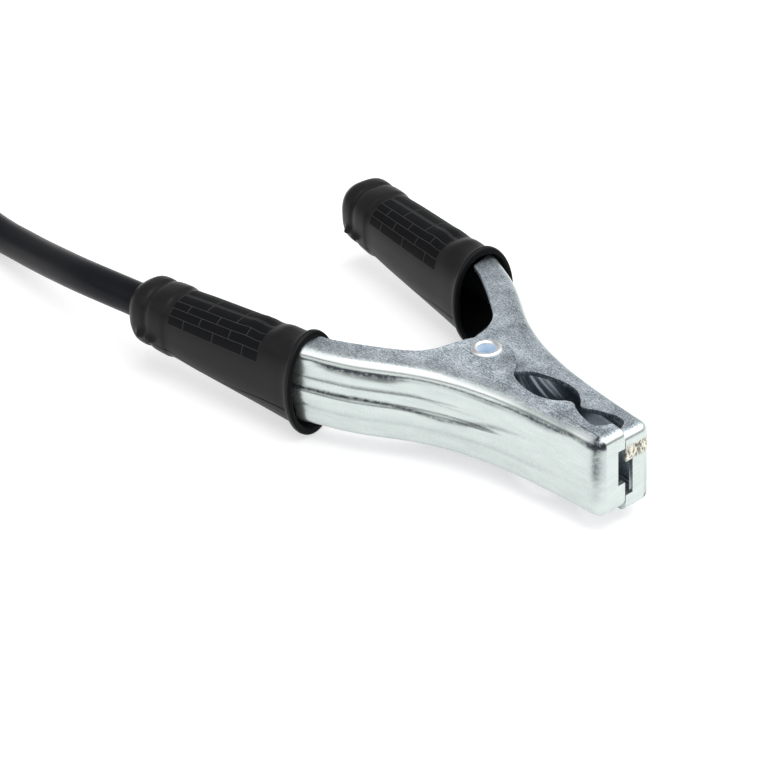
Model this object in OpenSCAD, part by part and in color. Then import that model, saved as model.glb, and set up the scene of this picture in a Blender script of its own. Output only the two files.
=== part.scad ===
// Ground clamp: two pressed steel jaw levers on a tubular rivet, rubber grips, a coiled earth lead and its plug.
// Millimetres. +X runs along the jaws to the nose, +Y towards the free lever, +Z along the pivot.

/* [Levers] */
// Height of a lever channel over both cheeks
channel_h = 28; // [27:0.25:28.5]
// Thickness of the pressed sheet
sheet_t = 1.5; // [1.2:0.1:1.6]
// Outer radius of the bends between web, cheeks and front wall
bend_r = 3; // [2.5:0.25:3.5]
// Gap between the two levers' cheeks, and between their closed front walls
lever_gap = 0.3; // [0.2:0.05:0.4]
// Distance from the pivot to the front of the nose
nose_reach = 62; // [61:0.5:63]
// Half width of the closed nose
nose_half_w = 11; // [10.5:0.25:11.5]

/* [Pivot] */
// Radius of the tubular rivet's shank
rivet_r = 3.8; // [3.6:0.1:4.0]
// Radius of the hole through the rivet
rivet_bore_r = 2.9; // [2.5:0.1:3.0]
// Radial running clearance of the free lever on the rivet
running_gap = 0.05; // [0.02:0.01:0.1]
// Wire diameter of the torsion spring
wire_d = 2.9; // [2.4:0.1:3.0]

/* [Grips] */
// Length of a rubber grip
grip_len = 73; // [72.5:0.5:75]
// Angle of a grip to the jaw line
grip_angle = 7.7; // [7:0.1:8.5]
// Half height of the hand guard at the grip's front
guard_half_h = 18.8; // [18:0.2:19.5]
// Wall thickness of the rubber
grip_wall = 1.8; // [1.6:0.1:1.9]

/* [Lead] */
// Outer diameter of the welding cable
cable_d = 11.6; // [11:0.1:12]
// Radius of the outermost turn of the coil
coil_outer_r = 74; // [73:0.5:74]
// Diameter of the plug's brass pin
pin_d = 9; // [8.5:0.1:9.5]

/* [Hidden] */

zinc = "silver";
rubber = [0.09, 0.09, 0.1];
jacket = [0.05, 0.05, 0.06];
copper = [0.72, 0.42, 0.26];
brass = [0.78, 0.62, 0.3];

// The pivot in the row's frame: its origin is midway along the clamp, on the surface it lies on
pivot = [26.2, 0, 19.6];
half_h = channel_h / 2;
stagger = (sheet_t + lever_gap) / 2;
far_side = 30;

// ---- curves ----
function unit(v) = v / norm(v);
function catmull(a, b, c, d, t) =
    0.5 * (2 * b + (c - a) * t + (2 * a - 5 * b + 4 * c - d) * t * t + (3 * b - a - 3 * c + d) * t * t * t);
function smooth(p, steps) = let (n = len(p))
    [for (i = [0:n - 2]) for (s = [0:steps - 1])
        catmull(p[max(i - 1, 0)], p[i], p[i + 1], p[min(i + 2, n - 1)], s / steps), p[n - 1]];
function arc(c, r, a0, a1, n) = [for (i = [0:n]) c + r * [cos(a0 + (a1 - a0) * i / n), sin(a0 + (a1 - a0) * i / n)]];
function tangent(p, i) = unit(p[min(i + 1, len(p) - 1)] - p[max(i - 1, 0)]);
// a line of points moved to its right by d
function inset(p, d) = [for (i = [0:len(p) - 1]) let (t = tangent(p, i)) p[i] + d * [t[1], -t[0]]];

// ---- lever outline, from the pivot: u along the jaws, w outwards from the jaw line ----
nose_corner_r = 3.5;
web_points = [[-90, 47.6], [-79, 46.1], [-68, 44.7], [-60, 44.4], [-52, 44.4], [-45, 43.4], [-37.5, 40.8],
              [-24, 34.9], [-9, 25.6], [0, 21.1], [9, 17.8], [22, 14.7], [36, 12.8], [48, 11.7],
              [nose_reach - nose_corner_r, nose_half_w]];
web_line = concat(smooth(web_points, 3),
    [for (i = [1:6]) [nose_reach, nose_half_w] - nose_corner_r * [1 - sin(i * 15), 1 - cos(i * 15)]]);
open_side = -12;
lever_path = concat(web_line, [[nose_reach, 0.5]]);

// edge of a cheek from the tail to the ear round the pivot
tail_edge = [[-100, 46], [-60, 42.3], [-52, 37.9], [-43.6, 33.2], [-36, 30], [-25, 23.6],
             [-15.6, 17], [-11.6, 11], [-9.8, 3.8], [-7.6, -2.2], [-4, -5.1], [1, -6.3], [4.2, -6],
             [7.7, -4.7], [10.7, -2.8]];
// the jaw edge of the cheek that lies outside, and of the one that lies inside
outer_jaw = [[13.9, 0.5], [16.2, 3.4], [20.9, 5.3], [25.6, 6.1], [30.2, 5.9], [34.7, 4.3], [37.6, 1.8]];
outer_mouth = [[39.2, 0.8], [40.8, 1.1], [43, 2.4], [47, 3.9], [51, 4.7], [53.6, 4.6], [55.2, 2.6]];
inner_jaw = [[13.9, 0.5], [16.8, 3.7], [21.7, 5.6], [27, 6.8], [31.4, 6.9], [35.4, 5.9], [38.8, 3.6]];
inner_mouth = [[40.8, 1.5], [42.4, 1.5], [45, 2.9], [49, 4.6], [53, 5.7], [56, 5.2], [57.6, 3]];
function jaw_side(jaw, mouth, close_u) = concat(
    [[-100, open_side * 2]], smooth(tail_edge, 3), smooth(jaw, 3), smooth(mouth, 3),
    [[close_u, lever_gap / 2], [nose_reach + 5, lever_gap / 2], [nose_reach + 5, open_side * 2]]);
rod_notch = [-3.2, 8.2];
rod_notch_w = 3;
// behind this distance from the pivot only a flat tongue of the web is left
tongue_u = -42.6;
tongue_half_h = 6.5;

// a prism whose top and bottom edges are rounded where it follows the lever's path
module rounded_prism(path, h, r, depth, back) {
    steps = 3;
    levels = concat([for (i = [0:steps]) [depth + r * (1 - cos(i * 90 / steps)), depth + r * (1 - sin(i * 90 / steps))]],
        [for (i = [steps:-1:0]) [h - depth - r * (1 - cos(i * 90 / steps)), depth + r * (1 - sin(i * 90 / steps))]]);
    // levels pair a height with an inset
    rings = [for (level = levels) let (line = inset(path, level[1]))
        [for (p = concat(line, [[line[len(line) - 1][0], back], [line[0][0], back]])) [p[0], p[1], level[0] - h / 2]]];
    n = len(rings[0]);
    points = [for (ring = rings) each ring];
    // each end face starts at the back corner, which sees the whole outline
    faces = concat([[for (i = [n - 1:-1:0]) (i + n) % n]], [[for (i = [0:n - 1]) (len(rings) - 1) * n + (i + n - 1) % n]],
        [for (k = [0:len(rings) - 2]) for (i = [0:n - 1]) each let (j = (i + 1) % n, a = k * n, b = (k + 1) * n)
            [[a + i, a + j, b + i], [b + i, a + j, b + j]]]);
    polyhedron(points, faces);
}

module stamping(hole_r) {
    difference() {
        rounded_prism(lever_path, channel_h, bend_r, 0, open_side);
        translate([-0.001, 0, 0])
            rounded_prism(concat([lever_path[0] + [-1, 0.13]], lever_path), channel_h, bend_r - sheet_t, sheet_t, open_side - 1);
        linear_extrude(far_side) polygon(jaw_side(outer_jaw, outer_mouth, 56.4));
        translate([0, 0, -far_side]) linear_extrude(far_side) polygon(jaw_side(inner_jaw, inner_mouth, 58.8));
        translate([nose_reach - 5, 0, rod_notch[0]]) cube([10, rod_notch_w, rod_notch[1] - rod_notch[0]]);
        for (z = [tongue_half_h, -far_side]) translate([-100, 0, z])
            cube([100 + tongue_u, 60, far_side - tongue_half_h]);
        cylinder(h = 2 * far_side, r = hole_r, center = true, $fn = 64);
        translate([grip_front[0], grip_front[1], 0]) rotate([0, 0, -grip_angle]) translate([-bolt_x, 0, 0])
            rotate([90, 0, 0]) cylinder(h = 40, r = bolt_r + 0.2, center = true, $fn = 48);
    }
}

module cable_lever() {
    color(zinc) translate(pivot + [0, 0, stagger]) mirror([0, 1, 0]) stamping(rivet_r);
}

module free_lever() {
    color(zinc) translate(pivot - [0, 0, stagger]) mirror([0, 0, 1]) stamping(rivet_r + running_gap);
}

// ---- pivot ----
cheek_top = half_h + stagger;
inside_half_h = half_h - stagger - sheet_t;
rivet_rim_r = 5;
rivet_rim_h = 1.1;
rivet_head_r = 6.2;
rivet_head_h = 1;
bush_r = 5;

module pivot_rivet() {
    color("gainsboro") translate(pivot) rotate_extrude($fn = 64) difference() {
        union() {
            translate([0, -cheek_top - lever_gap - rivet_head_h])
                square([rivet_r, 2 * cheek_top + lever_gap + rivet_head_h + rivet_rim_h / 2]);
            translate([0, -cheek_top - lever_gap - rivet_head_h]) square([rivet_head_r, rivet_head_h]);
            translate([0, cheek_top]) square([rivet_rim_r - rivet_rim_h / 2, rivet_rim_h]);
            translate([rivet_rim_r - rivet_rim_h / 2, cheek_top + rivet_rim_h / 2]) circle(rivet_rim_h / 2, $fn = 24);
        }
        translate([-1, -far_side]) square([rivet_bore_r + 1, 2 * far_side]);
    }
}

module spacer_bush() {
    color("gray") translate(pivot - [0, 0, inside_half_h]) difference() {
        cylinder(h = 2 * inside_half_h - lever_gap, r = bush_r, $fn = 64);
        translate([0, 0, -1]) cylinder(h = far_side, r = rivet_r, $fn = 64);
    }
}

spring_r = bush_r + 0.5 + wire_d / 2;
spring_turns = 5;
spring_pitch = wire_d + 0.2;
leg_end = [-30, 33.6];
leg_angle = atan2(leg_end[1], leg_end[0]) - acos(spring_r / norm(leg_end));
spring_span = 360 * spring_turns + 2 * leg_angle;
spring_rise = spring_pitch * spring_span / 360;
coil_steps = 16;
helix = [for (a = [0:360 / coil_steps:spring_span]) [spring_r * cos(a - leg_angle), spring_r * sin(a - leg_angle),
    spring_rise * (a / spring_span - 0.5)]];
spring_line = concat([[leg_end[0], -leg_end[1], -spring_rise / 2]], helix,
    [[spring_r * cos(leg_angle), spring_r * sin(leg_angle), spring_rise / 2], [leg_end[0], leg_end[1], spring_rise / 2]]);

// a round tube of radius r along a line of points that never runs straight up
function tube_ring(p, i, r, sides) = let (t = tangent(p, i), side = unit(cross(t, [0, 0, 1])), up = cross(side, t))
    [for (k = [0:sides - 1]) p[i] + r * (cos(360 * k / sides) * side + sin(360 * k / sides) * up)];
module tube(p, r, sides) {
    m = len(p);
    points = [for (i = [0:m - 1]) each tube_ring(p, i, r, sides)];
    faces = concat([[for (k = [sides - 1:-1:0]) k]], [[for (k = [0:sides - 1]) (m - 1) * sides + k]],
        [for (i = [0:m - 2]) for (k = [0:sides - 1]) each
            let (l = (k + 1) % sides, a = i * sides, b = (i + 1) * sides) [[a + k, a + l, b + k], [b + k, a + l, b + l]]]);
    polyhedron(points, faces);
}

module torsion_spring() {
    color("dimgray") translate(pivot) tube(spring_line, wire_d / 2, 8);
}

// ---- grips: x back from the guard's front face, y outwards, z up ----
guard_half_w = 11.7;
guard_t = 2.8;
grip_front = [-41, 36.2];
grip_z = 19.8;
guard_z = guard_half_h;
// half width and half height of the body at distances behind the guard's face
body_rings = [[1, 9.9, 16], [9, 9.9, 15.2], [16, 9.8, 14.6], [32, 9.8, 13.3], [46, 9.7, 12.2], [55, 9.5, 11.4],
              [58, 9.9, 11.8], [63, 9.9, 11.4], [65, 9.3, 10.8], [67, 9.8, 11.2], [70.5, 9.6, 10.9], [grip_len, 8.3, 9.4]];
body_z = 19.1;
cavity_end = 56;
body_power = 0.77;
// pocket in the guard's front for the full section of either lever
pocket = [[-7, -15.1], [3.6, -15.1], [6.9, -12.1], [6.9, 12.1], [3.6, 15.1], [-7, 15.1]];

// an oval of half width a and half height b, squarer with a smaller power
function soft(t, power) = sign(t) * pow(abs(t), power);
function oval(x, a, b, z, power, n) = [for (i = [0:n - 1])
    [-x, a * soft(cos(360 * i / n), power), z + b * soft(sin(360 * i / n), power)]];
module loft(rings) {
    n = len(rings[0]);
    faces = concat([[for (i = [n - 1:-1:0]) i]], [[for (i = [0:n - 1]) (len(rings) - 1) * n + i]],
        [for (k = [0:len(rings) - 2]) for (i = [0:n - 1]) each
            let (j = (i + 1) % n, a = k * n, b = (k + 1) * n) [[a + i, a + j, b + i], [b + i, a + j, b + j]]]);
    polyhedron([for (ring = rings) each ring], faces);
}

module grip_shell() {
    sides = 32;
    difference() {
        union() {
            loft([for (s = body_rings) oval(s[0], s[1], s[2], body_z, body_power, sides)]);
            loft([for (s = [[0, 0.6], [0.6, 0], [guard_t - 0.6, 0], [guard_t, 0.6]])
                oval(s[0], guard_half_w - s[1], guard_half_h - s[1], guard_z, 1, sides)]);
        }
        loft([for (s = [for (b = body_rings) if (b[0] < cavity_end) b])
            oval(s[0] < 2 ? -1 : s[0], s[1] - grip_wall, s[2] - grip_wall, body_z, body_power, sides)]);
        translate([-2.6, 0, pivot[2]]) rotate([90, 0, 90]) linear_extrude(4) polygon(pocket);
        translate([-grip_len - 1, 0, grip_z]) rotate([0, 90, 0]) cylinder(h = grip_len - 50, r = cable_d / 2, $fn = 64);
    }
}

// places a grip's own frame on the free side (side 1) or the cable side (side -1)
module in_grip(side) {
    translate([pivot[0], 0, 0]) mirror([0, side > 0 ? 0 : 1, 0])
        translate([grip_front[0], grip_front[1], 0]) rotate([0, 0, -grip_angle]) children();
}

module cable_grip() {
    color(rubber) in_grip(-1) grip_shell();
}

module free_grip() {
    color(rubber) in_grip(1) grip_shell();
}

// ---- cable end inside the grip ----
tongue_y = 3.08;
tongue_gap = 0.2;
bolt_x = 39.5;
bolt_z = pivot[2] + stagger;
bolt_r = 3;
palm_t = 2;
washer_t = 1.6;
nut_t = 5;
bolt_head_t = 2;
bolt_head_r = 5;
barrel_r = 4.5;
core_r = 3.3;
barrel_start = 51;
jacket_start = 60;

module at_bolt(y) {
    translate([-bolt_x, y, bolt_z]) rotate([90, 0, 0]) children();
}

module cable_lug() {
    color(copper) in_grip(-1) difference() {
        union() {
            at_bolt(tongue_y) cylinder(h = palm_t, r = 7, $fn = 64);
            translate([-barrel_start - 2, tongue_y - palm_t, bolt_z - 4]) cube([barrel_start + 2 - bolt_x, palm_t, 8]);
            translate([-jacket_start, 0, grip_z]) rotate([0, 90, 0])
                cylinder(h = jacket_start - barrel_start, r = barrel_r, $fn = 48);
        }
        at_bolt(tongue_y + 1) cylinder(h = palm_t + 2, r = bolt_r + 0.2, $fn = 48);
        translate([-jacket_start - 1, 0, grip_z]) rotate([0, 90, 0])
            cylinder(h = jacket_start - barrel_start, r = core_r, $fn = 48);
    }
}

module lug_bolt() {
    color(zinc) in_grip(-1) {
        head_y = tongue_y + sheet_t + tongue_gap;
        at_bolt(head_y + bolt_head_t) cylinder(h = bolt_head_t, r = bolt_head_r, $fn = 6);
        at_bolt(head_y) cylinder(h = sheet_t + tongue_gap + palm_t + washer_t + nut_t + 1, r = bolt_r, $fn = 48);
    }
}

module lug_spring_washer() {
    color(zinc) in_grip(-1) at_bolt(tongue_y - palm_t) difference() {
        cylinder(h = washer_t, r = 5.2, $fn = 48);
        translate([0, 0, -1]) cylinder(h = washer_t + 2, r = bolt_r + 0.1, $fn = 48);
        translate([0, -0.4, -1]) cube([6, 0.8, washer_t + 2]);
    }
}

module lug_nut() {
    color(zinc) in_grip(-1) at_bolt(tongue_y - palm_t - washer_t) difference() {
        cylinder(h = nut_t, r = 5.77, $fn = 6);
        translate([0, 0, -1]) cylinder(h = nut_t + 2, r = bolt_r, $fn = 48);
    }
}

module conductor_end() {
    color(copper) in_grip(-1) translate([-jacket_start, 0, grip_z]) rotate([0, 90, 0])
        cylinder(h = jacket_start - barrel_start - 1, r = core_r, $fn = 48);
}

module cable_in_grip() {
    color(jacket) in_grip(-1) translate([-grip_len, 0, grip_z]) rotate([0, 90, 0])
        cylinder(h = grip_len - jacket_start, r = cable_d / 2, $fn = 64);
}

// ---- free lead: route from the grip's end to the coil, and from the coil to the plug ----
cable_r = cable_d / 2;
tie_t = 1.2;
coil_centre = [-341, -24];
turn_gap = 12;
coil_inner_r = coil_outer_r - 2 * turn_gap;
layer_z = [for (i = [0:2]) tie_t + cable_r + i * cable_d];
sleeve_r = 14;
plug_r = 62;
plug_axis_z = layer_z[2] + cable_r + sleeve_r;
tail_start_r = coil_inner_r + 3;
grip_exit = [pivot[0] + grip_front[0] - grip_len * cos(grip_angle), -grip_front[1] - grip_len * sin(grip_angle), grip_z];
run_route = [grip_exit, grip_exit - [7 * cos(grip_angle), 7 * sin(grip_angle), 0.1], [-109, -48.6, 18.9], [-121, -48.6, 17.2],
             [-133, -47.6, 14.9], [-147, -46, 12], [-161, -44.4, 9.5], [-175, -43.4, 7.9], [-199.5, -40.4, 7.1],
             [-223, -31.6, 7], [-243, -17, 7], [-259, 1, 7], [-275.5, 20, 7], [-295, 36, 7],
             [-317, 46.4, 7], [-334, 49.7, 7], [coil_centre[0], coil_centre[1] + coil_outer_r, 7]];
function ease(t) = let (c = max(0, min(1, t))) c * c * (3 - 2 * c);
// half round the coil, climbing onto it
tail_route = [for (s = [0:0.0625:1]) let (a = 180 * s, r = tail_start_r + (plug_r - tail_start_r) * ease(s))
    [coil_centre[0] + r * cos(a), coil_centre[1] + r * sin(a), layer_z[2] + (plug_axis_z - layer_z[2]) * ease(s / 0.75)]];

module cable_run() {
    color(jacket) tube(run_route, cable_r, 10);
}

module cable_tail() {
    color(jacket) tube(tail_route, cable_r, 10);
}

module coil_section() {
    for (z = [layer_z[0], layer_z[2]]) for (r = [coil_inner_r, coil_outer_r]) translate([r, z]) circle(cable_r, $fn = 32);
    translate([coil_inner_r - cable_r, layer_z[0]]) square([2 * turn_gap + cable_d, 2 * cable_d]);
    translate([coil_inner_r, layer_z[0] - cable_r]) square([2 * turn_gap, 3 * cable_d]);
}

module cable_coil() {
    color(jacket) translate([coil_centre[0], coil_centre[1], 0]) rotate_extrude($fn = 96) coil_section();
}

module coil_ties() {
    width = 9;
    low = coil_inner_r - cable_r - 0.4;
    high = coil_outer_r + cable_r;
    top = layer_z[2] + cable_r;
    color("dimgray") translate([coil_centre[0], coil_centre[1], 0]) for (a = [290, 340]) rotate([0, 0, a]) difference() {
        translate([low - tie_t, -width / 2, 0]) cube([high - low + 2 * tie_t, width, top + tie_t]);
        translate([low, -width, tie_t]) cube([high - low, 2 * width, top - tie_t]);
    }
}

// ---- plug: x forward from the cable's entry, on the plug's axis ----
plug_at = [coil_centre[0] - plug_r, coil_centre[1], plug_axis_z];
sleeve_len = 56;
ferrule_len = 20;
seat_r = 10;

module in_plug() {
    translate(plug_at) rotate([0, 0, -90]) children();
}

module at_plug(x) {
    in_plug() translate([x, 0, 0]) rotate([0, 90, 0]) children();
}

module plug_sleeve() {
    color(rubber) difference() {
        at_plug(0) rotate_extrude($fn = 64) polygon([[0, 0], [8.2, 0], [9, 2], [10.5, 18], [12.6, 23], [sleeve_r, 26],
            [sleeve_r, sleeve_len - 2], [sleeve_r - 1.5, sleeve_len], [0, sleeve_len]]);
        at_plug(-1) cylinder(h = 23, r = cable_r, $fn = 64);
        at_plug(22) cylinder(h = sleeve_len, r = seat_r, $fn = 64);
    }
}

screw_x = [29, 38];
module plug_pin() {
    color(brass) difference() {
        union() {
            at_plug(24) cylinder(h = 26, r = seat_r, $fn = 64);
            at_plug(50) cylinder(h = 30, r = pin_d / 2 - 0.2, $fn = 64);
            at_plug(66) cylinder(h = 14, r = pin_d / 2, $fn = 64);
            in_plug() translate([60, pin_d / 2 - 1, -1.5]) cube([5, 2.6, 3]);
        }
        at_plug(23) cylinder(h = ferrule_len + 1, r = 4.8, $fn = 48);
        in_plug() for (x = screw_x) translate([x, 0, 0]) cylinder(h = 20, r = 3, $fn = 32);
    }
}

module plug_ferrule() {
    color(copper) difference() {
        at_plug(24) cylinder(h = ferrule_len, r = 4.8, $fn = 48);
        at_plug(23) cylinder(h = ferrule_len + 2, r = core_r, $fn = 48);
    }
}

module plug_conductor() {
    color(copper) at_plug(22) cylinder(h = ferrule_len + 1, r = core_r, $fn = 48);
}

module plug_grub_screws() {
    color("dimgray") in_plug() for (x = screw_x) translate([x, 0, 4.8]) difference() {
        cylinder(h = 4.6, r = 3, $fn = 32);
        translate([0, 0, 2.2]) cylinder(h = 5, r = 1.7, $fn = 6);
    }
}

cable_lever();
free_lever();
pivot_rivet();
spacer_bush();
torsion_spring();
cable_grip();
free_grip();
cable_lug();
lug_bolt();
lug_spring_washer();
lug_nut();
conductor_end();
cable_in_grip();
cable_run();
cable_coil();
cable_tail();
coil_ties();
plug_sleeve();
plug_pin();
plug_ferrule();
plug_conductor();
plug_grub_screws();
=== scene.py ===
"""Ground clamp: looks of the pressed levers, grips, rivet, spring and lead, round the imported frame."""
import math

import bpy
import numpy as np
from mathutils import Matrix, Vector
from mathutils.geometry import tessellate_polygon


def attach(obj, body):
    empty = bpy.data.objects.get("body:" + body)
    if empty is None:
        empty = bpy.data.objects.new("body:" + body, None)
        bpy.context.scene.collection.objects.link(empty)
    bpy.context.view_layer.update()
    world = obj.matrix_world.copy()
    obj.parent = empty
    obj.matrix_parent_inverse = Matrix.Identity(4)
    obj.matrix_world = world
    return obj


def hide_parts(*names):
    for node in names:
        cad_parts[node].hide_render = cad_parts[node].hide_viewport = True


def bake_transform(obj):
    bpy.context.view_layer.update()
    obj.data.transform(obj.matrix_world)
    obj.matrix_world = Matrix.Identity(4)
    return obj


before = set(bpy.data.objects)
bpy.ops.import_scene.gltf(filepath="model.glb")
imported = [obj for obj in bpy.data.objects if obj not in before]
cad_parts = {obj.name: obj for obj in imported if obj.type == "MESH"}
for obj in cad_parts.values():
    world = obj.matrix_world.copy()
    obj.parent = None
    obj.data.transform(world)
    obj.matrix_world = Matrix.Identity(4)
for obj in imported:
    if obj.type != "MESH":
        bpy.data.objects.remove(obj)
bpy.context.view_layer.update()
MM = 0.001
CABLE_SIDE = "cable_side"
FREE_SIDE = "free_side"


# ------------------------------------------------ sizes shared with the design, in millimetres
PIVOT = (26.2, 0.0, 19.6)
HALF_H = 14.0
SHEET = 1.5
BEND = 3.0
GAP = 0.3
STAGGER = (SHEET + GAP) / 2
NOSE = 62.0
NOSE_HALF_W = 11.0
NOSE_CORNER = 3.5
WIRE_R = 1.45
GRIP_LEN = 73.0
GRIP_ANGLE = math.radians(7.7)
GRIP_FRONT = (-41.0, 36.2)
GRIP_Z = 19.8
CABLE_D = 11.6
CABLE_R = CABLE_D / 2


def smooth(points, steps):
    """A Catmull-Rom curve through the points."""
    out = []
    for i in range(len(points) - 1):
        a, b = points[max(i - 1, 0)], points[i]
        c, d = points[i + 1], points[min(i + 2, len(points) - 1)]
        for s in range(steps):
            t = s / steps
            out.append(tuple(
                0.5 * (2 * q + (r - p) * t + (2 * p - 5 * q + 4 * r - w) * t * t
                       + (3 * q - p - 3 * r + w) * t ** 3)
                for p, q, r, w in zip(a, b, c, d)))
    out.append(tuple(points[-1]))
    return out


def step(low, high, x):
    """0 below low, 1 above high, smooth between."""
    t = np.clip((np.asarray(x, float) - low) / (high - low), 0, 1)
    return t * t * (3 - 2 * t)


def bump(x, centre, width):
    return np.exp(-((np.asarray(x, float) - centre) / width) ** 2)


# ------------------------------------------------ camera, floor and light
CAMERA_AZIMUTH, CAMERA_ELEVATION, CAMERA_ROLL = (math.radians(degrees) for degrees in (50.41, 33.31, -2.24))
CAMERA_TARGET = (0.41, -20.21, 18.7)
CAMERA_DISTANCE = 1.1721
CAMERA_LENS = 175.5


def add_camera():
    az, el, roll = CAMERA_AZIMUTH, CAMERA_ELEVATION, CAMERA_ROLL
    back = Vector((math.sin(az) * math.cos(el), -math.cos(az) * math.cos(el), math.sin(el)))
    target = Vector(CAMERA_TARGET) * MM
    right = (-back).cross(Vector((0, 0, 1))).normalized()
    up = right.cross(-back)
    x_axis = math.cos(roll) * right + math.sin(roll) * up
    y_axis = -math.sin(roll) * right + math.cos(roll) * up
    place = target + back * CAMERA_DISTANCE
    data = bpy.data.cameras.new("camera")
    data.lens = CAMERA_LENS
    data.sensor_width = 36
    data.clip_start = 0.01
    data.dof.use_dof = False
    camera = bpy.data.objects.new("camera", data)
    camera.matrix_world = Matrix((
        (x_axis[0], y_axis[0], back[0], place[0]),
        (x_axis[1], y_axis[1], back[1], place[1]),
        (x_axis[2], y_axis[2], back[2], place[2]),
        (0, 0, 0, 1)))
    link(camera)
    bpy.context.scene.camera = camera


def link(obj):
    bpy.context.scene.collection.objects.link(obj)
    return obj


def mesh_object(name, verts, faces, material, smooth_angle=None):
    mesh = bpy.data.meshes.new(name)
    mesh.from_pydata([tuple(v) for v in verts], [], [tuple(f) for f in faces])
    mesh.validate()
    obj = link(bpy.data.objects.new(name, mesh))
    if material:
        mesh.materials.append(material)
    if smooth_angle is not None:
        mesh.polygons.foreach_set("use_smooth", [True] * len(mesh.polygons))
        mesh.set_sharp_from_angle(angle=math.radians(smooth_angle))
    return obj


class Nodes:
    """Short calls for building a node tree.

    add() takes input sockets by name, or by number as i0 and i1, and the node's own properties as p_name.
    """

    def __init__(self, tree):
        self.tree = tree
        self.tree.nodes.clear()

    def add(self, kind, **inputs):
        node = self.tree.nodes.new(kind)
        for key, value in inputs.items():
            if key.startswith("p_"):
                setattr(node, key[2:], value)
                continue
            numbered = key[0] == "i" and key[1:].isdigit()
            socket = node.inputs[int(key[1:]) if numbered else key.replace("_", " ")]
            if hasattr(value, "is_linked"):
                self.tree.links.new(value, socket)
            else:
                socket.default_value = value
        return node

    def math(self, operation, a, b=0.0, clamp=False):
        return self.add("ShaderNodeMath", p_operation=operation, i0=a, i1=b, p_use_clamp=clamp).outputs[0]

    def mix(self, factor, a, b):
        node = self.add("ShaderNodeMix", p_data_type="RGBA")
        for index, value in ((0, factor), (6, a), (7, b)):
            if hasattr(value, "is_linked"):
                self.tree.links.new(value, node.inputs[index])
            else:
                node.inputs[index].default_value = value
        return node.outputs[2]

    def blend(self, factor, a, b):
        """a where factor is 0, b where it is 1."""
        return self.math("ADD", self.math("MULTIPLY", factor, b - a), a)

    def ramp(self, value, stops):
        node = self.add("ShaderNodeValToRGB", i0=value)
        while len(node.color_ramp.elements) < len(stops):
            node.color_ramp.elements.new(0.5)
        for element, (position, level) in zip(node.color_ramp.elements, stops):
            element.position = position
            element.color = level if isinstance(level, tuple) else (level, level, level, 1)
        return node.outputs[0]

    def noise(self, vector, scale, detail=2.0, roughness=0.5):
        node = self.add("ShaderNodeTexNoise", Vector=vector, Scale=scale, Detail=detail, Roughness=roughness)
        return node.outputs["Fac"]

    def coords(self, scale=(1, 1, 1)):
        where = self.add("ShaderNodeTexCoord").outputs["Object"]
        return self.add("ShaderNodeMapping", Vector=where, Scale=scale).outputs[0]


def add_world():
    world = bpy.data.worlds.new("studio")
    bpy.context.scene.world = world
    world.use_nodes = True
    n = Nodes(world.node_tree)
    direction = n.add("ShaderNodeTexCoord").outputs["Generated"]
    axes = n.add("ShaderNodeSeparateXYZ", Vector=direction).outputs
    # front is 1 towards the camera's side of the room and 0 behind the clamp
    ahead = n.math("ADD", n.math("MULTIPLY", axes[0], 0.77), n.math("MULTIPLY", axes[1], -0.64))
    front = n.ramp(n.math("ADD", n.math("MULTIPLY", ahead, 0.5), 0.5), [(0.36, 0.0), (0.6, 1.0)])
    near = n.ramp(axes[2], [(0.0, 0.7), (0.04, 0.1), (0.22, 0.1), (0.34, 1.3), (0.9, 1.3), (1.0, 0.9)])
    far = n.ramp(axes[2], [(0.0, 0.9), (0.25, 0.62), (0.5, 0.43), (0.75, 0.3), (0.92, 0.35), (1.0, 0.8)])
    colour = n.mix(front, far, near)
    shade = n.add("ShaderNodeBackground", Color=colour, Strength=1.0)
    n.add("ShaderNodeOutputWorld", Surface=shade.outputs[0])


def add_light(name, place, aim, size, power):
    data = bpy.data.lights.new(name, "AREA")
    data.shape = "RECTANGLE"
    data.size, data.size_y = size
    data.energy = power
    light = link(bpy.data.objects.new(name, data))
    light.location = place
    light.rotation_euler = (Vector(aim) - Vector(place)).to_track_quat("-Z", "Y").to_euler()


def add_floor():
    material = bpy.data.materials.new("floor")
    material.use_nodes = True
    n = Nodes(material.node_tree)
    matt = n.add("ShaderNodeBsdfDiffuse", Color=(0.5, 0.5, 0.5, 1))
    glow = n.add("ShaderNodeEmission", Color=(1, 1, 1, 1), Strength=0.55)
    both = n.add("ShaderNodeAddShader", i0=matt.outputs[0], i1=glow.outputs[0])
    n.add("ShaderNodeOutputMaterial", Surface=both.outputs[0])
    size = 3.0
    floor = mesh_object("floor", [(-size, -size, 0), (size, -size, 0), (size, size, 0), (-size, size, 0)],
                        [(0, 1, 2, 3)], material)


add_camera()
add_world()
add_floor()
add_light("key", (0.45, 0.85, 1.25), (0, 0, 0), (1.4, 1.4), 17)
add_light("fill", (0.2, -0.15, 1.6), (0, 0, 0), (1.1, 1.1), 12)
scene = bpy.context.scene
scene.view_settings.view_transform = "Standard"
scene.view_settings.look = "None"


# ------------------------------------------------ materials
def principled(n, **inputs):
    shader = n.add("ShaderNodeBsdfPrincipled", **inputs)
    n.add("ShaderNodeOutputMaterial", Surface=shader.outputs[0])


def new_material(name):
    material = bpy.data.materials.new(name)
    material.use_nodes = True
    return material, Nodes(material.node_tree)


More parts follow.
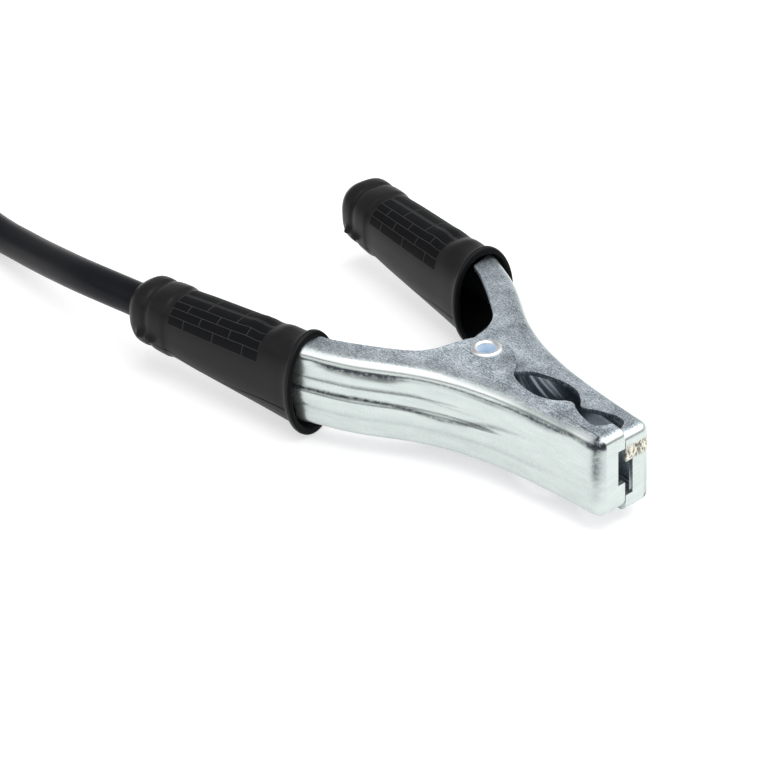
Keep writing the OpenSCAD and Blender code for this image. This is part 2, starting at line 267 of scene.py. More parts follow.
def zinc_material():
    """Zinc plate: speckled matt cheeks, satin bends and web, with painted shade in the creases and inside the
    channel, and a painted highlight along the bends.
    """
    material, n = new_material("zinc_plate")
    where = n.coords()
    marks = {name: n.add("ShaderNodeAttribute", p_attribute_name=name).outputs["Fac"]
             for name in ("flat", "crease", "inside", "scuff")}
    flat = marks["flat"]
    fleck = n.noise(n.coords((1.0, 2.2, 1.0)), 1500.0, 5.0, 0.75)
    patch = n.noise(where, 140.0, 3.0, 0.6)
    scratch = n.noise(n.coords((0.35, 2.2, 1.0)), 1100.0, 3.0, 0.7)
    mottle = n.math("ADD", n.math("ADD", n.math("MULTIPLY", fleck, 0.6), n.math("MULTIPLY", scratch, 0.25)),
                    n.math("MULTIPLY", patch, 0.15))
    cheek = n.ramp(mottle, [(0.41, (0.09, 0.11, 0.13, 1)), (0.49, (0.29, 0.335, 0.37, 1)),
                            (0.57, (0.66, 0.72, 0.77, 1))])
    streak = n.noise(n.coords((0.25, 0.25, 1.0)), 500.0, 3.0, 0.6)
    web = n.mix(streak, (0.48, 0.535, 0.525, 1), (0.63, 0.69, 0.67, 1))
    base = n.mix(flat, web, cheek)
    # crease is above 0 where shade and dark reflections are painted into the creases, and below 0 where a
    # highlight is painted on the bend
    painted_bend_highlight = n.math("MULTIPLY", marks["crease"], -1.0, clamp=True)
    grain = n.ramp(n.noise(where, 700.0, 4.0, 0.75), [(0.36, 0.75), (0.56, 1.35)])
    painted_crease_shade = n.math("MULTIPLY", marks["crease"], grain)
    # painted highlight: the bend is lightened to pale zinc; then painted shade: the creases are darkened to
    # near black, mottled by noise
    colour = n.mix(painted_bend_highlight, base, (0.86, 0.89, 0.885, 1))
    colour = n.mix(n.math("MULTIPLY", painted_crease_shade, 1.0, clamp=True), colour, (0.045, 0.05, 0.06, 1))
    cracks = n.ramp(n.noise(n.coords((1.0, 1.0, 0.5)), 1300.0, 4.0, 0.8), [(0.42, 1.0), (0.52, 0.0)])
    worn = n.mix(cracks, (0.72, 0.70, 0.60, 1), (0.13, 0.12, 0.10, 1))
    colour = n.mix(marks["scuff"], colour, worn)
    # painted shade: the inner skin and the cheeks' undersides are darkened towards dark blue, less so near
    # the nose
    colour = n.mix(n.math("MULTIPLY", marks["inside"], 0.7), colour, (0.05, 0.09, 0.14, 1))
    rough = n.math("ADD", n.blend(flat, 0.22, 0.40), n.math("MULTIPLY", patch, 0.12))
    height = n.math("ADD", n.math("ADD", n.math("MULTIPLY", fleck, flat), n.math("MULTIPLY", patch, 0.3)),
                    n.math("MULTIPLY", n.math("MULTIPLY", cracks, marks["scuff"]), -2.0))
    relief = n.add("ShaderNodeBump", Strength=0.3, Distance=0.0003, Height=height).outputs[0]
    principled(n, Base_Color=colour, Metallic=0.92, Roughness=rough, Normal=relief)
    return material


def plain_metal(name, colour, rough, metallic=1.0):
    material, n = new_material(name)
    wear = n.noise(n.coords(), 400.0, 3.0)
    worn = tuple(c * 0.8 for c in colour[:3]) + (1,)
    principled(n, Base_Color=n.mix(wear, worn, colour), Metallic=metallic,
               Roughness=n.blend(wear, rough - 0.06, rough + 0.1))
    return material


# The brick panels of a grip: millimetres behind the guard, and degrees above the side
PANEL_START, PANEL_END = 15.5, 54.5
PANEL_LOW, PANEL_HIGH = 19.0, 89.0
BRICK_LENGTH = 13.0
ROW_HEIGHT = 4.0
ROW_TURN = 17.5
GUARD_FACE = 0.6


def rubber_material():
    """Black rubber with moulded brick panels; the UV map holds distance along the grip and angle round it."""
    material, n = new_material("grip_rubber")
    where = n.coords()
    uv = n.add("ShaderNodeUVMap", p_uv_map="around").outputs[0]
    axes = n.add("ShaderNodeSeparateXYZ", Vector=uv).outputs
    along, turn = axes[0], axes[1]
    inside = n.math("MULTIPLY", n.math("GREATER_THAN", along, PANEL_START),
                    n.math("LESS_THAN", along, PANEL_END))
    # the two panels lie symmetrically beside the top
    upper = n.math("MULTIPLY", n.math("GREATER_THAN", turn, PANEL_LOW), n.math("LESS_THAN", turn, PANEL_HIGH))
    panel = n.math("MULTIPLY", inside, upper)
    rows_up = n.math("MULTIPLY", n.math("SUBTRACT", turn, PANEL_LOW), ROW_HEIGHT / ROW_TURN)
    on_panel = n.add("ShaderNodeCombineXYZ", X=n.math("SUBTRACT", along, PANEL_START), Y=rows_up).outputs[0]
    brick = n.add("ShaderNodeTexBrick", Vector=on_panel, Scale=1.0, Mortar_Size=0.17, Mortar_Smooth=0.3,
                  Bias=0.0, Brick_Width=BRICK_LENGTH, Row_Height=ROW_HEIGHT, p_offset=0.5,
                  p_offset_frequency=2)
    line = n.math("MULTIPLY", brick.outputs["Fac"], panel)
    mottle = n.noise(where, 120.0, 4.0, 0.6)
    fine = n.noise(where, 2500.0, 2.0)
    base = n.mix(mottle, (0.006, 0.006, 0.007, 1), (0.011, 0.0105, 0.011, 1))
    colour = n.mix(panel, base, (0.005, 0.0053, 0.006, 1))
    colour = n.mix(n.math("MULTIPLY", line, 0.6), colour, (0.06, 0.058, 0.06, 1))
    # the mould's parting line wanders along the lower half
    reach = n.math("DIVIDE", n.math("SUBTRACT", along, 37.0), 17.0)
    reach = n.math("MULTIPLY", n.math("MULTIPLY", reach, reach), -1.0)
    dip = n.math("MULTIPLY", n.math("EXPONENT", reach), -18.0)
    off = n.math("ABSOLUTE", n.math("SUBTRACT", turn, n.math("ADD", dip, -20.0)))
    seam = n.math("MULTIPLY", n.math("LESS_THAN", off, 1.1), n.math("GREATER_THAN", along, 3.5))
    colour = n.mix(n.math("MULTIPLY", seam, 0.8), colour, (0.0015, 0.0015, 0.0018, 1))
    front = n.math("LESS_THAN", along, GUARD_FACE)
    colour = n.mix(front, colour, (0.004, 0.0045, 0.005, 1))
    # the panels are matt, and so is the guard's front
    matt = n.math("MAXIMUM", panel, front)
    rough = n.math("ADD", n.math("ADD", 0.32, n.math("MULTIPLY", mottle, 0.14)),
                   n.math("MULTIPLY", matt, 0.12))
    shine = n.blend(matt, 0.13, 0.05)
    height = n.math("SUBTRACT", n.math("ADD", line, n.math("MULTIPLY", fine, 0.12)), seam)
    relief = n.add("ShaderNodeBump", Strength=0.6, Distance=0.00025, Height=height).outputs[0]
    shine = n.math("MULTIPLY", shine, n.blend(seam, 1.0, 0.1))
    principled(n, Base_Color=colour, Roughness=rough, Normal=relief, Specular_IOR_Level=shine)
    return material


def plain_rubber(name, colour, rough, shine=0.22):
    material, n = new_material(name)
    mottle = n.noise(n.coords(), 150.0, 3.0)
    grain = n.noise(n.coords(), 1800.0)
    relief = n.add("ShaderNodeBump", Strength=0.25, Distance=0.0001, Height=grain).outputs[0]
    principled(n, Base_Color=n.mix(mottle, colour, tuple(c * 1.6 for c in colour[:3]) + (1,)),
               Roughness=n.blend(mottle, rough, rough + 0.12), Normal=relief, Specular_IOR_Level=shine)
    return material


zinc = zinc_material()
rivet_metal = plain_metal("rivet_metal", (0.9, 0.91, 0.92, 1), 0.34)
# painted reflection: the bore is a bright sky blue and mostly not metallic, so it looks lit instead of
# reflecting the dark inside
bore_painted_reflection = plain_metal("bore_painted_reflection", (0.72, 0.86, 1.0, 1), 0.3, 0.2)
spring_metal = plain_metal("spring_metal", (0.42, 0.50, 0.59, 1), 0.32)
copper = plain_metal("copper", (0.80, 0.42, 0.27, 1), 0.3)
brass = plain_metal("brass", (0.83, 0.63, 0.30, 1), 0.25)
rubber = rubber_material()
jacket = plain_rubber("jacket_rubber", (0.005, 0.0053, 0.0068, 1), 0.26, 0.08)
sleeve_rubber = plain_rubber("sleeve_rubber", (0.014, 0.014, 0.015, 1), 0.5)
tie_fabric = plain_rubber("tie_fabric", (0.02, 0.02, 0.022, 1), 0.8)

for node, material in {
        "spacer_bush": spring_metal, "cable_lug": copper, "lug_bolt": rivet_metal,
        "lug_spring_washer": spring_metal, "lug_nut": rivet_metal, "conductor_end": copper,
        "plug_pin": brass, "plug_ferrule": copper, "plug_conductor": copper,
        "plug_grub_screws": spring_metal, "cable_in_grip": jacket,
        "plug_sleeve": sleeve_rubber, "coil_ties": tie_fabric}.items():
    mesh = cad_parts[node].data
    mesh.materials.clear()
    mesh.materials.append(material)


# ------------------------------------------------ the lead: one cord from the grip to the plug
COIL_CENTRE = (-341.0, -24.0)
COIL_INNER_R = 50.0
COIL_OUTER_R = 74.0
LOW_Z = 7.0


def ease(t):
    t = min(max(t, 0), 1)
    return t * t * (3 - 2 * t)


def coil_point(t):
    """A point of the coil after t turns: in, up, out, up and in again, 12 mm a turn, in three layers."""
    span = COIL_OUTER_R - COIL_INNER_R
    if t < 2:
        radius, z = COIL_OUTER_R - span * t / 2, 0
    elif t < 2.5:
        radius, z = COIL_INNER_R, ease((t - 2) / 0.5)
    elif t < 4.5:
        radius, z = COIL_INNER_R + span * (t - 2.5) / 2, 1
    elif t < 5:
        radius, z = COIL_OUTER_R, 1 + ease((t - 4.5) / 0.5)
    else:
        radius, z = COIL_OUTER_R - span * (t - 5) / 2, 2
    angle = math.radians(90 + 360 * t)
    x = COIL_CENTRE[0] + radius * math.cos(angle)
    y = COIL_CENTRE[1] + radius * math.sin(angle)
    return (x, y, LOW_Z + CABLE_D * z)


def make_cord():
    """The lead: out of the grip, down to the table, round the coil, and up into the plug."""
    exit_at = (PIVOT[0] + GRIP_FRONT[0] - GRIP_LEN * math.cos(GRIP_ANGLE),
               -GRIP_FRONT[1] - GRIP_LEN * math.sin(GRIP_ANGLE), GRIP_Z)
    straight = (exit_at[0] - 7 * math.cos(GRIP_ANGLE), exit_at[1] - 7 * math.sin(GRIP_ANGLE), GRIP_Z - 0.1)
    route = [exit_at, straight, (-109, -48.6, 18.9), (-121, -48.6, 17.2), (-133, -47.6, 14.9),
             (-147, -46, 12), (-161, -44.4, 9.5), (-175, -43.4, 7.9), (-199.5, -40.4, 7.1), (-223, -31.6, 7),
             (-243, -17, 7), (-259, 1, 7), (-275.5, 20, 7), (-295, 36, 7), (-317, 46.4, 7), (-334, 49.7, 7)]
    points = smooth(route + [coil_point(0)], 2)[:-1]
    turns, per_turn = 6.75, 24
    points += [coil_point(i / per_turn) for i in range(int(turns * per_turn) + 1)]
    # the tail climbs over the coil for half a turn, and enters the plug's sleeve
    start_r, end_r = COIL_INNER_R + 3, 62.0
    low, high = LOW_Z + 2 * CABLE_D, 50.0
    tail_steps = 16
    for i in range(1, tail_steps + 1):
        s = i / tail_steps
        radius = start_r + (end_r - start_r) * ease(s)
        points.append((COIL_CENTRE[0] + radius * math.cos(math.pi * s),
                       COIL_CENTRE[1] + radius * math.sin(math.pi * s), low + (high - low) * ease(s / 0.75)))
    curve = bpy.data.curves.new("lead", "CURVE")
    curve.dimensions = "3D"
    curve.bevel_depth = CABLE_R * MM
    curve.bevel_resolution = 8
    curve.use_fill_caps = True
    spline = curve.splines.new("POLY")
    spline.points.add(len(points) - 1)
    for place, point in zip(spline.points, points):
        place.co = (point[0] * MM, point[1] * MM, point[2] * MM, 1)
    spline.use_smooth = True
    lead = link(bpy.data.objects.new("lead", curve))
    curve.materials.append(jacket)
    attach(lead, CABLE_SIDE)
    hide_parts("cable_run", "cable_coil", "cable_tail")


make_cord()


# ------------------------------------------------ levers
# Plan of a lever in (u, w): its web's outer face, its cheeks' free edge, and the two jaws of each cheek with
# the place where they close
WEB_POINTS = [(-90, 47.6), (-79, 46.1), (-68, 44.7), (-60, 44.4), (-52, 44.4), (-45, 43.4), (-37.5, 40.8),
              (-24, 34.9), (-9, 25.6), (0, 21.1), (9, 17.8), (22, 14.7), (36, 12.8), (48, 11.7),
              (NOSE - NOSE_CORNER, NOSE_HALF_W)]
EDGE_POINTS = [(-60, 42.3), (-52, 37.9), (-43.6, 33.2), (-36, 30), (-25, 23.6), (-15.6, 17), (-11.6, 11),
               (-9.8, 3.8), (-7.6, -2.2), (-4, -5.1), (1, -6.3), (4.2, -6), (7.7, -4.7), (10.7, -2.8)]
JAWS = {
    "outer": ([(13.9, 0.5), (16.2, 3.4), (20.9, 5.3), (25.6, 6.1), (30.2, 5.9), (34.7, 4.3), (37.6, 1.8)],
              [(39.2, 0.8), (40.8, 1.1), (43, 2.4), (47, 3.9), (51, 4.7), (53.6, 4.6), (55.2, 2.6)], 56.4),
    "inner": ([(13.9, 0.5), (16.8, 3.7), (21.7, 5.6), (27, 6.8), (31.4, 6.9), (35.4, 5.9), (38.8, 3.6)],
              [(40.8, 1.5), (42.4, 1.5), (45, 2.9), (49, 4.6), (53, 5.7), (56, 5.2), (57.6, 3)], 58.8)}
# Behind TONGUE_U the web narrows to the tongue that the grip covers
TONGUE_U = -42.6
TONGUE_HALF_H = 6.5
# The notch in the front wall: its width from the middle, and its lowest and highest point
NOTCH_W = 3.0
NOTCH_Z = (-4.6, 7.7)
# Closer to the middle than this, the path is the front wall and not the web
WALL_W = 7.5
WALL_STATIONS = (6.0, 5.0, 4.0, NOTCH_W, 2.4, 1.6, 0.8, GAP / 2)
EDGE_TOLERANCE = 1e-6
RIVET_HOLE_R = 3.8


def lever_path():
    """Plan of the web's outer face, the rounded corner and the front wall."""
    front = [(NOSE - NOSE_CORNER * (1 - math.sin(a)), NOSE_HALF_W - NOSE_CORNER * (1 - math.cos(a)))
             for a in np.radians(np.arange(9, 91, 9))]
    web = smooth(WEB_POINTS, 8)
    walls = [(NOSE, w) for w in WALL_STATIONS]
    return np.array(web + front + walls)


def path_normals(path):
    tangent = np.gradient(path, axis=0)
    tangent /= np.linalg.norm(tangent, axis=1)[:, None]
    return np.c_[-tangent[:, 1], tangent[:, 0]]


# pressed lines of the web as (u, height, half width, darkness of the shade painted along it): the groove
# under the bend, and two creases
GROOVE = [(-44, 11.4, 0.5, 0.7), (-37, 11.2, 0.6, 0.7), (-31, 10.1, 1.3, 0.95), (-14, 9.7, 1.5, 0.85),
          (-8, 10.9, 0.7, 0.65), (2, 11.0, 0.7, 0.65), (18, 10.4, 0.8, 0.7), (26, 11.1, 1.0, 0.8),
          (36, 11.0, 1.2, 0.9), (43, 11.0, 1.1, 0.85), (50, 12.1, 0.8, 0.75), (55, 11.5, 0.7, 0.6),
          (58, 11.7, 1.2, 1.0), (60, 12.0, 1.4, 1.0)]
MID_CREASE = [(-44, 4.2, 0.5, 0.4), (-30, 4.8, 0.5, 0.42), (-6, 4.8, 0.5, 0.4), (2, 3.6, 0.4, 0.2),
              (10, 3.2, 0.4, 0.15), (18, 3.0, 0.4, 0.0)]
LOW_CREASE = [(-44, 0.4, 0.6, 0.8), (-22, 0.9, 0.6, 0.9), (-14, 0.5, 0.6, 0.75), (-6, -0.3, 0.6, 0.75),
              (2, -1.3, 0.6, 0.6), (10, -0.4, 0.7, 0.6), (18, 1.5, 0.8, 0.5), (26, 2.4, 0.5, 0.3),
              (32, 3.0, 0.5, 0.0)]


def along(line, u):
    """Height, half width and painted-shade darkness of a pressed line at u."""
    stations = [point[0] for point in line]
    return [float(np.interp(u, stations, [point[k] for point in line])) for k in (1, 2, 3)]


def web_relief(u, z):
    """Pressed relief of the web, outwards in millimetres: a groove, and flanks facing up like lap boards."""
    fade_in = step(-58, -46, u)
    height, width, _ = along(GROOVE, u)
    groove = -(0.35 + 0.3 * width) * bump(z, height, 0.5 + width) * (1 - step(40, 58, u))
    upper = 0.38 * (1 - step(3.9, 5.1, z)) * (1 - step(2, 24, u))
    lower = 0.85 * (1 - step(-0.9, 1.1, z)) * (1 - step(12, 34, u))
    drop = -1.13 * (1 - step(-11.5, -2.5, z)) * (1 - step(12, 34, u))
    faint = -0.16 * bump(z, -5.8, 0.8)
    waves = 0.16 * np.sin(u / 5.2 + 0.6) * bump(z, 10.5, 3.0)
    return fade_in * (groove + upper + lower + drop + faint + waves)


def web_painted_light(u, z):
    """How much shade and dark reflection is painted into the pressed creases and the nose corner; below 0,
    how much highlight is painted on the bend.
    """
    dark = [strength * bump(z, height, width)
            for height, width, strength in (along(line, u) for line in (GROOVE, MID_CREASE, LOW_CREASE))]
    # painted shade along a faint pressed line low on the web
    dark.append(0.14 * bump(z, -6.2, 0.7) * (1 - step(36, 46, u)))
    # painted dark reflection in a vertical band at the nose corner
    dark.append(bump(u, 60.1, 1.5) * (0.2 * step(-12, -4, z) + 0.4 * step(-4, 3, z) + 0.4 * step(9.5, 12, z)))
    # a highlight is painted along the bend where no shade is painted
    bright = bump(z, 12.7, 0.95) * (1 - step(24, 34, u))
    bright += bump(z, 13.2, 0.6) * step(46, 52, u) * (1 - step(56, 59, u))
    return float(max(dark) - 0.9 * bright * (1 - min(1, max(dark)))) * float(step(-52, -43, u))


SCUFF_U = 59.5


def front_scuff(z):
    """Where the plating has cracked across a front wall."""
    return step(-10.4, -9.4, z) * (1 - step(-5.6, -4.2, z))


def lever_mesh(name, scuffed):
    """The stamping in its own frame: u along the jaws, w outwards, z up from mid height, outer cheek up."""
    path = lever_path()
    normal = path_normals(path)
    first_full = int(np.argmax(path[:, 0] > TONGUE_U))
    bend_angles = np.radians(np.arange(0, 90, 15))
    top = [(HALF_H - BEND * (1 - math.cos(a)), a) for a in bend_angles]
    flat_half = HALF_H - BEND
    rows = set(np.round(np.arange(-flat_half, flat_half + 0.01, 0.5), 3)) | set(NOTCH_Z)
    # each row of the section: its part, its height, and how far the bend has turned
    section = ([("top", z, a) for z, a in top] + [("web", z, math.pi / 2) for z in sorted(rows, reverse=True)]
               + [("bottom", -z, a) for z, a in reversed(top)])
    count = len(section)
    verts, faces, skins = [], [], []
    flat, crease, inside, scuff = [], [], [], []

    def mark(is_flat, is_crease=0.0, is_inside=0.0, is_scuff=0.0):
        for values, value in ((flat, is_flat), (crease, is_crease), (inside, is_inside), (scuff, is_scuff)):
            values.append(float(value))

    for skin, radius in enumerate((BEND, BEND - SHEET)):
        base = len(verts)
        skins.append(base)
        for i, (point, outward) in enumerate(zip(path, normal)):
            u, w = point
            for kind, z, angle in section:
                side = 1 if kind != "bottom" else -1
                if kind == "web":
                    inset = BEND - radius
                    height = z
                    # both skins are pressed together, and the relief fades towards the bends and the nose
                    if i < len(path) - len(WALL_STATIONS):
                        push = float(web_relief(u, z)) * float(1 - step(10.2, 11.0, abs(z)))
                        inset -= push * float(1 - step(50, 57, u))
                else:
                    inset = BEND - radius * math.sin(angle)
                    height = side * (HALF_H - BEND + radius * math.cos(angle))
                verts.append((u - outward[0] * inset, w - outward[1] * inset, height))
                seen = kind != "bottom" and skin == 0
                mark(0 if kind == "web" else step(0.35, 1.0, 1 - angle / (math.pi / 2)),
                     web_painted_light(u, height) if seen and w > WALL_W else 0,
                     skin * (1 - 0.85 * step(52, 60, u)),
                     front_scuff(height) if scuffed and seen and u > SCUFF_U else 0)
        for i in range(len(path) - 1):
            for j in range(count - 1):
                mid_z = (section[j][1] + section[j + 1][1]) / 2
                if i < first_full and abs(mid_z) > TONGUE_HALF_H:
                    continue
                on_notch_side = path[i][1] <= NOTCH_W + EDGE_TOLERANCE and path[i][0] > NOSE - 1
                if on_notch_side and NOTCH_Z[0] < mid_z < NOTCH_Z[1]:
                    continue
                a = base + i * count + j
                quad = (a, a + 1, a + 1 + count, a + count)
                faces.append(quad if skin == 0 else quad[::-1])
    # cheeks: flat sheets between the bend and the free edge
    for jaw, side, edge_row in (("outer", 1, 0), ("inner", -1, count - 1)):
        curve, mouth, close = JAWS[jaw]
        bend_line = [i for i in range(first_full, len(path)) if path[i][1] > GAP / 2 - EDGE_TOLERANCE]
        edge = ([p for p in smooth(EDGE_POINTS, 4) if p[0] > TONGUE_U] + smooth(curve, 4) + smooth(mouth, 4)
                + [(close, GAP / 2)])
        starts = []
        for height in (HALF_H, HALF_H - SHEET):
            starts.append(len(verts))
            verts += [(p[0], p[1], side * height) for p in edge]
            for _ in edge:
                # the cheek's underside gets the painted shade of the inside
                mark(1, is_inside=height < HALF_H)
        holes = []
        ring = 32
        for height in (HALF_H, HALF_H - SHEET):
            holes.append(len(verts))
            verts += [(RIVET_HOLE_R * math.cos(2 * math.pi * k / ring),
                       RIVET_HOLE_R * math.sin(2 * math.pi * k / ring), side * height) for k in range(ring)]
            for _ in range(ring):
                mark(1, is_inside=height < HALF_H)
        for skin in (0, 1):
            outline = [skins[skin] + i * count + edge_row for i in bend_line]
            outline += [starts[skin] + k for k in reversed(range(len(edge)))]
            hole = [holes[skin] + k for k in range(ring)]
            loops = [[Vector(verts[i]) for i in outline], [Vector(verts[i]) for i in hole]]
            index = outline + hole
            for tri in tessellate_polygon(loops):
                face = [index[k] for k in tri]
                a, b, c = (Vector(verts[i]) for i in face)
                up = (b - a).cross(c - a).z > 0
                if up != ((side > 0) == (skin == 0)):
                    face.reverse()
                faces.append(tuple(face))
        order = (lambda f: f) if side > 0 else (lambda f: f[::-1])
        for k in range(len(edge) - 1):
            faces.append(order((starts[0] + k, starts[0] + k + 1, starts[1] + k + 1, starts[1] + k)))
        for k in range(ring):
            m = (k + 1) % ring
            faces.append(order((holes[0] + k, holes[0] + m, holes[1] + m, holes[1] + k)))
        # the front wall's closing edge between the cheek's last point and the bend
        last = bend_line[-1]
        faces.append(order((starts[0] + len(edge) - 1, skins[0] + last * count + edge_row,
                            skins[1] + last * count + edge_row, starts[1] + len(edge) - 1)))
    # cut edges of the front wall and of its notch
    def rim(a, b):
        faces.append((skins[0] + a, skins[0] + b, skins[1] + b, skins[1] + a))

    last_row = (len(path) - 1) * count
    notch_rows = [j for j, (kind, z, _) in enumerate(section)
                  if kind == "web" and NOTCH_Z[0] - EDGE_TOLERANCE <= z <= NOTCH_Z[1] + EDGE_TOLERANCE]
    notch_i = next(i for i in range(len(path))
                   if path[i][0] > NOSE - EDGE_TOLERANCE and path[i][1] <= NOTCH_W + EDGE_TOLERANCE)
    for j in range(count - 1):
        if not (notch_rows[0] <= j < notch_rows[-1]):
            rim(last_row + j, last_row + j + 1)
        else:
            rim(notch_i * count + j, notch_i * count + j + 1)
    for i in range(notch_i, len(path) - 1):
        rim(i * count + notch_rows[0], (i + 1) * count + notch_rows[0])
        rim((i + 1) * count + notch_rows[-1], i * count + notch_rows[-1])
    obj = mesh_object(name, np.array(verts), faces, zinc)
    for label, values in (("flat", flat), ("crease", crease), ("inside", inside), ("scuff", scuff)):
        obj.data.attributes.new(label, "FLOAT", "POINT").data.foreach_set("value", values)
    return obj


CUT_EDGE_BEVEL = 0.22
CUT_EDGE_ANGLE = 50


def place_lever(name, node, body, flip_w, flip_z, lift, scuffed):
    """Put a stamping on its body; the two are the same, turned over, and lap by the stagger."""
    obj = lever_mesh(name, scuffed)
    scale = Matrix.Diagonal((MM, flip_w * MM, flip_z * MM, 1))
    shift = Matrix.Translation((PIVOT[0] * MM, PIVOT[1] * MM, (PIVOT[2] + lift) * MM))
    obj.data.transform(shift @ scale)
    if flip_w * flip_z < 0:
        obj.data.flip_normals()
    bevel = obj.modifiers.new("cut_edges", "BEVEL")
    bevel.width = CUT_EDGE_BEVEL * MM
    bevel.segments = 2
    bevel.limit_method = "ANGLE"
    bevel.angle_limit = math.radians(CUT_EDGE_ANGLE)
    graph = bpy.context.evaluated_depsgraph_get()
    mesh = bpy.data.meshes.new_from_object(obj.evaluated_get(graph))
    obj.modifiers.clear()
    obj.data = mesh
    mesh.polygons.foreach_set("use_smooth", [True] * len(mesh.polygons))
    mesh.set_sharp_from_angle(angle=math.radians(38))
    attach(obj, body)
    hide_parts(node)


place_lever("lever_skin_cable", "cable_lever", CABLE_SIDE, -1, 1, STAGGER, False)
place_lever("lever_skin_free", "free_lever", FREE_SIDE, 1, -1, -STAGGER, True)


# ------------------------------------------------ rivet and spring
def lathe(name, profile, centre, material, segments=96):
    """A closed profile of (radius, height) pairs turned about Z."""
    verts, faces = [], []
    for radius, height in profile:
        for k in range(segments):
            a = 2 * math.pi * k / segments
            verts.append(((centre[0] + radius * math.cos(a)) * MM, (centre[1] + radius * math.sin(a)) * MM,
                          (centre[2] + height) * MM))
    rings = len(profile)
    for i in range(rings):
        for k in range(segments):
            m = (k + 1) % segments
            a, b = i * segments, ((i + 1) % rings) * segments
            faces.append((a + k, a + m, b + m, b + k))
    return mesh_object(name, verts, faces, material, 35)


def make_rivet():
    top = HALF_H + STAGGER
    low = -top - GAP
    # a rolled rim on top, and a flat head below
    roll = [(3.95 - 1.05 * math.cos(a), top + 0.25 + 0.85 * math.sin(a))
            for a in np.radians(np.arange(0, 181, 12))]
    profile = roll + [(4.95, top + 0.03), (3.78, top + 0.02), (3.78, low), (6.1, low), (6.2, low - 0.3),
                      (6.0, low - 0.9), (5.2, low - 1), (3.1, low - 1), (2.9, low - 0.8)]
    rivet = lathe("rivet_skin", profile, PIVOT, rivet_metal)
    rivet.data.materials.append(bore_painted_reflection)
    for polygon in rivet.data.polygons:
        middle = polygon.center - Vector(PIVOT) * MM
        if math.hypot(middle.x, middle.y) < 3.0 * MM and abs(middle.z) < (top - 0.1) * MM:
            polygon.material_index = 1
    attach(rivet, CABLE_SIDE)
    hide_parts("pivot_rivet")


def make_spring():
    """A coil round the bush, with a straight leg to each web."""
    bush_r = 5.0
    radius = bush_r + 0.5 + WIRE_R
    turns = 5
    end = (-30.0, 33.6)
    lead_angle = math.atan2(end[1], end[0]) - math.acos(radius / math.hypot(*end))
    span = 2 * math.pi * turns + 2 * lead_angle
    rise = (2 * WIRE_R + 0.2) * span / (2 * math.pi)
    steps = 200
    line = [(end[0], -end[1], -rise / 2)]
    for i in range(steps + 1):
        a = span * i / steps
        line.append((radius * math.cos(a - lead_angle), radius * math.sin(a - lead_angle),
                     rise * (i / steps - 0.5)))
    line.append((end[0], end[1], rise / 2))
    curve = bpy.data.curves.new("spring_wire", "CURVE")
    curve.dimensions = "3D"
    curve.bevel_depth = WIRE_R * MM
    curve.bevel_resolution = 6
    curve.use_fill_caps = True
    spline = curve.splines.new("POLY")
    spline.points.add(len(line) - 1)
    for place, p in zip(spline.points, line):
        place.co = ((PIVOT[0] + p[0]) * MM, p[1] * MM, (PIVOT[2] + p[2]) * MM, 1)
    curve.materials.append(spring_metal)
    bent = link(bpy.data.objects.new("spring_curve", curve))
    graph = bpy.context.evaluated_depsgraph_get()
    mesh = bpy.data.meshes.new_from_object(bent.evaluated_get(graph))
    wire = link(bpy.data.objects.new("spring_wire", mesh))
    bpy.data.objects.remove(bent)
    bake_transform(wire)
    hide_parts("torsion_spring")


make_rivet()
make_spring()


# ------------------------------------------------ grips
# The grip's outside as (distance behind the guard's face, half width, half height), and its centre height
BODY = [(1, 9.9, 16), (9, 9.9, 15.2), (16, 9.8, 14.6), (32, 9.8, 13.3), (46, 9.7, 12.2), (55, 9.5, 11.4),
        (58, 9.9, 11.8), (63, 9.9, 11.4), (65, 9.3, 10.8), (67, 9.8, 11.2), (70.5, 9.6, 10.9),
        (GRIP_LEN, 8.3, 9.4)]
BODY_Z = 19.1
BODY_SQUARENESS = 0.77
GUARD_ROLL = (0, 30, 60, 90, 120, 150, 180)
CABLE_HOLE_R = CABLE_R + 0.05
# Where the mould's gate leaves a flap on the rear ring, in degrees, for each side
FLAP_TURN = {-1: 349, 1: 191}


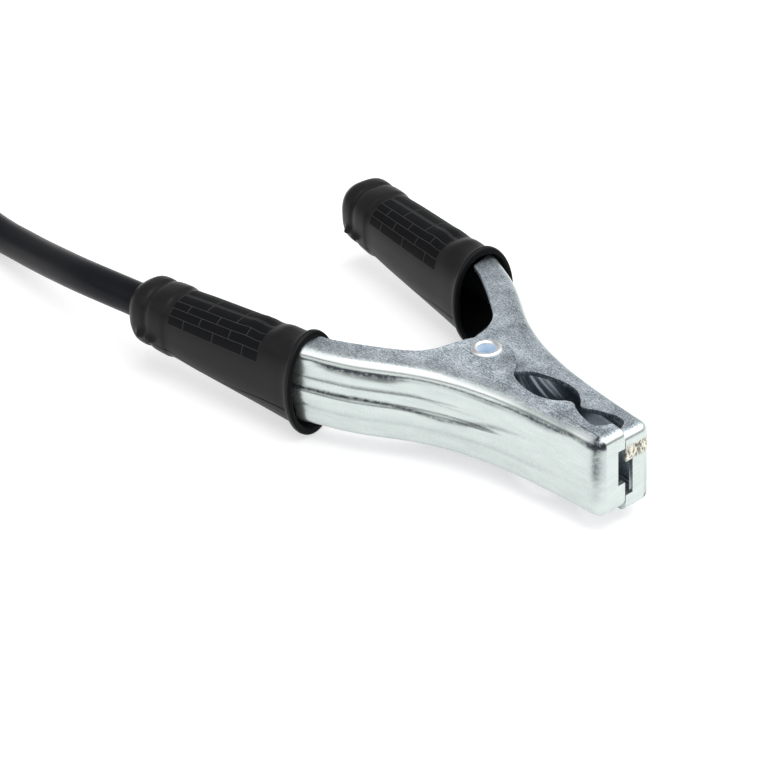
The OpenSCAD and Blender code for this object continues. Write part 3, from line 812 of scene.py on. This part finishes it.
def grip_rings():
    """Rings of (distance behind the guard's face, half width, half height, centre height, squareness)."""
    guard_z, guard_a, guard_b = 18.8, 11.7, 18.8
    square = BODY_SQUARENESS
    # the inside, from the back of the cavity to the guard's face
    rings = [(54, 6, 8, BODY_Z, square), (46, 7.9, 10.4, BODY_Z, square), (24, 8, 12.4, BODY_Z, square),
             (6, 8.2, 13.9, BODY_Z, square), (3.4, 8.5, 14.9, 19.3, square), (1.2, 9.1, 15.4, 19.3, 0.8),
             (0.5, 9.4, 15.8, 19.2, 0.85), (0.12, 9.75, 16.2, 19.2, 0.9), (0.0, 10.1, 16.7, 19.0, 0.95)]
    # the guard's rounded edge
    for degrees in GUARD_ROLL:
        a = math.radians(degrees)
        rings.append((1.4 - 1.4 * math.cos(a), guard_a - 0.9 + 0.9 * math.sin(a),
                      guard_b - 0.9 + 0.9 * math.sin(a), guard_z, 1.0))
    # the outside, and the cable's hole at the rear
    rings += [(3.0, 10.4, 16.9, 19.0, 0.9), (3.6, 10.05, 16.1, BODY_Z, 0.8)]
    rings += [(x, a, b, BODY_Z, square) for x, a, b in smooth(BODY, 6) if x > 4.2]
    rings += [(GRIP_LEN, 7.4, 8.4, 19.3, 0.8), (GRIP_LEN, 6.4, 6.8, 19.6, 0.9),
              (GRIP_LEN - 0.4, CABLE_HOLE_R, CABLE_HOLE_R, GRIP_Z, 1.0),
              (60, CABLE_HOLE_R, CABLE_HOLE_R, GRIP_Z, 1.0)]
    return rings


def make_grip(name, node, body, side):
    """A rubber grip; side is -1 for the cable lever's and 1 for the free lever's."""
    sides = 144
    rings = grip_rings()
    verts, faces, uvs = [], [], []
    for x, a, b, z, power in rings:
        for k in range(sides):
            t = 2 * math.pi * k / sides
            c, s = math.cos(t), math.sin(t)
            y = a * math.copysign(abs(c) ** power, c)
            h = b * math.copysign(abs(s) ** power, s)
            # soft waves in the top of the rubber
            if s > 0 and 8 < x < 60:
                h += s ** 3 * (0.5 * float(bump(x, 12, 2.6)) - 0.5 * float(bump(x, 17.5, 2.4))
                               + 0.45 * float(bump(x, 22.5, 2.4)))
            # the flap that the mould's gate leaves low on the rear ring
            if 58 < x < 70 and a > CABLE_R + 1:
                turned = math.degrees(t) - FLAP_TURN[side]
                flap = 1.6 * float(step(60.5, 61.5, x) * (1 - step(67.5, 69, x)) * bump(turned, 0, 5))
                y -= side * flap
                h -= 0.4 * flap
            verts.append((-x, y, z + h))
            uvs.append((x, math.degrees(math.atan2(s, abs(c)))))
    for i in range(len(rings) - 1):
        for k in range(sides):
            m = (k + 1) % sides
            a, b = i * sides, (i + 1) * sides
            faces.append((a + k, b + k, b + m, a + m))
    obj = mesh_object(name, verts, faces, rubber, 50)
    layer = obj.data.uv_layers.new(name="around")
    for loop in obj.data.loops:
        layer.data[loop.index].uv = uvs[loop.vertex_index]
    place = (Matrix.Translation((PIVOT[0] * MM, 0, 0)) @ Matrix.Diagonal((1, side, 1, 1))
             @ Matrix.Translation((GRIP_FRONT[0] * MM, GRIP_FRONT[1] * MM, 0))
             @ Matrix.Rotation(-GRIP_ANGLE, 4, "Z") @ Matrix.Diagonal((MM, MM, MM, 1)))
    obj.data.transform(place)
    if side < 0:
        obj.data.flip_normals()
    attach(obj, body)
    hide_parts(node)


make_grip("grip_skin_cable", "cable_grip", CABLE_SIDE, -1)
make_grip("grip_skin_free", "free_grip", FREE_SIDE, 1)
